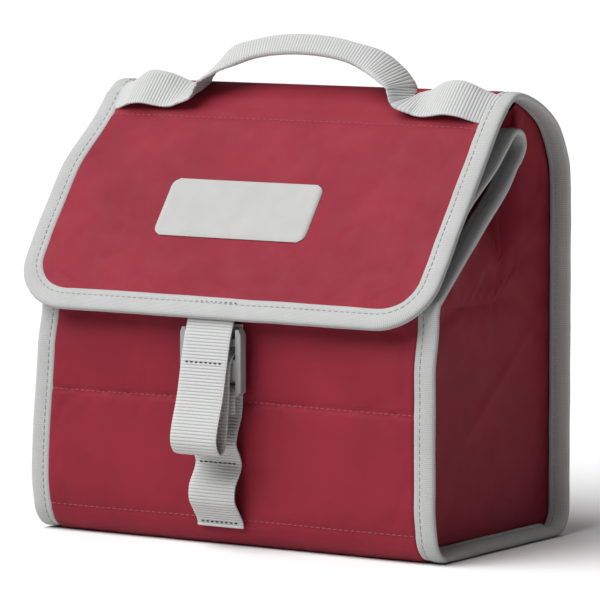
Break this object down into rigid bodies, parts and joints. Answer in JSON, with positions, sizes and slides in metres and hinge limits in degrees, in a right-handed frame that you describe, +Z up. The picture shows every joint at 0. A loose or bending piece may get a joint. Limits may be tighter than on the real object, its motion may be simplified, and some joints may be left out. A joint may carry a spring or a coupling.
{
  "type": "insulated lunch bag",
  "caption": "Soft insulated lunch bag with fold-over flap, tucked-in side folds, webbing handle and a buckled front strap.",
  "frame": {"origin": "middle of the base's underside, on the surface that the bag stands on", "axes": "+Z up, -Y towards the front with the strap and buckle, +X towards the viewer's right when facing the front"},
  "size_m": [0.22, 0.1444, 0.2325],
  "materials": {
    "coated_fabric": "matt coated fabric with a soft sheen",
    "binding_tape": "woven grey tape, matt",
    "webbing": "ribbed grey webbing, matt",
    "insulation_foam": "closed-cell foam, matt",
    "wipe_clean_liner": "smooth wipe-clean film, satin",
    "stiffener_board": "matt sheet",
    "buckle_plastic": "moulded grey plastic, satin",
    "label_patch": "smooth pale patch, matt"
  },
  "bodies": {
    "body": {"front_panel": "coated_fabric", "rear_panel": "coated_fabric", "base_panel": "coated_fabric", "front_foam": "insulation_foam", "front_liner": "wipe_clean_liner", "rear_foam": "insulation_foam", "rear_liner": "wipe_clean_liner", "base_foam": "insulation_foam", "base_board": "stiffener_board", "base_liner": "wipe_clean_liner", "side_panel_right": "coated_fabric", "side_panel_left": "coated_fabric", "side_foam_right": "insulation_foam", "side_foam_left": "insulation_foam", "side_liner_right": "wipe_clean_liner", "side_liner_left": "wipe_clean_liner", "body_binding_right": "binding_tape", "body_binding_left": "binding_tape", "side_fold_front_right": "coated_fabric", "side_fold_front_left": "coated_fabric", "side_fold_rear_right": "coated_fabric", "side_fold_rear_left": "coated_fabric", "front_strap": "webbing"},
    "ridge": {"top_panel": "coated_fabric", "top_foam": "insulation_foam", "top_liner": "wipe_clean_liner", "top_binding_right": "binding_tape", "top_binding_left": "binding_tape", "handle_tail_right": "webbing", "handle_tail_left": "webbing"},
    "throat": {"throat_panel": "coated_fabric", "throat_foam": "insulation_foam", "throat_liner": "wipe_clean_liner", "throat_cuff": "coated_fabric", "throat_binding_right": "binding_tape", "throat_binding_left": "binding_tape"},
    "flap": {"flap_panel": "coated_fabric", "flap_foam": "insulation_foam", "flap_lining": "wipe_clean_liner", "flap_binding": "binding_tape", "label_patch": "label_patch", "flap_strap": "webbing", "buckle_socket": "buckle_plastic"},
    "handle": {"handle_grip": "webbing"},
    "plug": {"buckle_plug": "buckle_plastic"},
    "arm_right": {"buckle_arm_right": "buckle_plastic"},
    "arm_left": {"buckle_arm_left": "buckle_plastic"}
  },
  "joints": [
    {"name": "ridge_tilt", "type": "hinge", "parent": "body", "child": "ridge", "pos_m": [0, 0.06, 0.162], "axis": [-1, 0, 0], "range_deg": [0, 60]},
    {"name": "flap_lift", "type": "hinge", "parent": "ridge", "child": "flap", "pos_m": [0, -0.007, 0.195], "axis": [-1, 0, 0], "range_deg": [0, 85]},
    {"name": "throat_open", "type": "hinge", "parent": "body", "child": "throat", "pos_m": [0, -0.06, 0.113], "axis": [1, 0, 0], "range_deg": [0, 34], "deforming": ["side_fold_front_right", "side_fold_front_left", "side_fold_rear_right", "side_fold_rear_left"]},
    {"name": "handle_swing", "type": "hinge", "parent": "ridge", "child": "handle", "pos_m": [0, 0.0005, 0.21], "axis": [-1, 0, 0], "range_deg": [-45, 35]},
    {"name": "plug_slide", "type": "slide", "parent": "body", "child": "plug", "axis": [0, 0, -1], "range_m": [0, 0.024], "deforming": ["front_strap"]},
    {"name": "arm_squeeze_right", "type": "hinge", "parent": "plug", "child": "arm_right", "pos_m": [0.0075, -0.065, 0.0789], "axis": [0, -1, 0], "range_deg": [0, 8], "stiffness_Nm_per_rad": 0.02},
    {"name": "arm_squeeze_left", "type": "hinge", "parent": "plug", "child": "arm_left", "pos_m": [-0.0155, -0.065, 0.0789], "axis": [0, 1, 0], "range_deg": [0, 8], "stiffness_Nm_per_rad": 0.02}
  ],
  "couplings": [
    {"joint": "ridge_tilt", "follows": "flap_lift", "ratio": 0.7},
    {"joint": "throat_open", "follows": "flap_lift", "ratio": 0.4}
  ]
}
